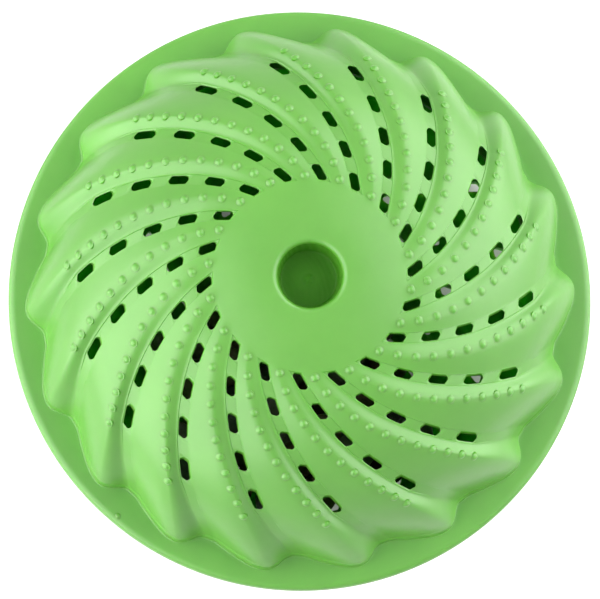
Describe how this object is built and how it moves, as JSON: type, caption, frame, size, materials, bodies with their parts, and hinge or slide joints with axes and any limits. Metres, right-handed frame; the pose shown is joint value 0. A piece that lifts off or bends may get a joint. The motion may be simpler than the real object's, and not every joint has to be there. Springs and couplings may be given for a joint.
{
  "type": "laundry ball",
  "caption": "Round slotted ball for the washing machine: two wavy green half shells with a flanged seam, each with a cupped pole and a magnet, closed over loose ceramic beads.",
  "frame": {"origin": "middle of the flat ring round the lower cup, which the ball stands on", "axes": "+Z up along the ball's axis; seen from above, +X is right and +Y is up in the picture"},
  "size_m": [0.11, 0.11, 0.08],
  "materials": {
    "green_plastic": "satin moulded",
    "cap_plastic": "satin moulded",
    "ferrite": "sintered, dark grey",
    "ceramic_cream": "unglazed, tumbled",
    "ceramic_grey": "unglazed, tumbled",
    "ceramic_tan": "unglazed, tumbled",
    "ceramic_brown": "unglazed, tumbled"
  },
  "bodies": {
    "lower_half": {"lower_shell": "green_plastic", "lower_magnet": "ferrite", "lower_magnet_cap": "cap_plastic"},
    "upper_half": {"upper_shell": "green_plastic", "upper_magnet": "ferrite", "upper_magnet_cap": "cap_plastic"},
    "bead_bed": {"bead_cream_01": "ceramic_cream", "bead_cream_02": "ceramic_cream", "bead_cream_03": "ceramic_cream", "bead_cream_04": "ceramic_cream", "bead_cream_05": "ceramic_cream", "bead_cream_06": "ceramic_cream", "bead_cream_07": "ceramic_cream", "bead_cream_08": "ceramic_cream", "bead_cream_09": "ceramic_cream", "bead_cream_10": "ceramic_cream", "bead_cream_11": "ceramic_cream", "bead_cream_12": "ceramic_cream", "bead_grey_01": "ceramic_grey", "bead_grey_02": "ceramic_grey", "bead_grey_03": "ceramic_grey", "bead_grey_04": "ceramic_grey", "bead_grey_05": "ceramic_grey", "bead_grey_06": "ceramic_grey", "bead_grey_07": "ceramic_grey", "bead_grey_08": "ceramic_grey", "bead_grey_09": "ceramic_grey", "bead_grey_10": "ceramic_grey", "bead_grey_11": "ceramic_grey", "bead_grey_12": "ceramic_grey", "bead_tan_01": "ceramic_tan", "bead_tan_02": "ceramic_tan", "bead_tan_03": "ceramic_tan", "bead_tan_04": "ceramic_tan", "bead_tan_05": "ceramic_tan", "bead_tan_06": "ceramic_tan", "bead_tan_07": "ceramic_tan", "bead_tan_08": "ceramic_tan", "bead_tan_09": "ceramic_tan", "bead_tan_10": "ceramic_tan", "bead_tan_11": "ceramic_tan", "bead_tan_12": "ceramic_tan", "bead_brown_01": "ceramic_brown", "bead_brown_02": "ceramic_brown", "bead_brown_03": "ceramic_brown", "bead_brown_04": "ceramic_brown", "bead_brown_05": "ceramic_brown", "bead_brown_06": "ceramic_brown", "bead_brown_07": "ceramic_brown", "bead_brown_08": "ceramic_brown", "bead_brown_09": "ceramic_brown", "bead_brown_10": "ceramic_brown", "bead_brown_11": "ceramic_brown", "bead_brown_12": "ceramic_brown"}
  },
  "joints": [
    {"name": "upper_half_lift", "type": "slide", "parent": "lower_half", "child": "upper_half", "axis": [0, 0, 1], "range_m": [0, 0.06]},
    {"name": "bead_roll", "type": "hinge", "parent": "lower_half", "child": "bead_bed", "pos_m": [0, 0, 0.04], "axis": [0, 0, 1], "continuous": true}
  ]
}
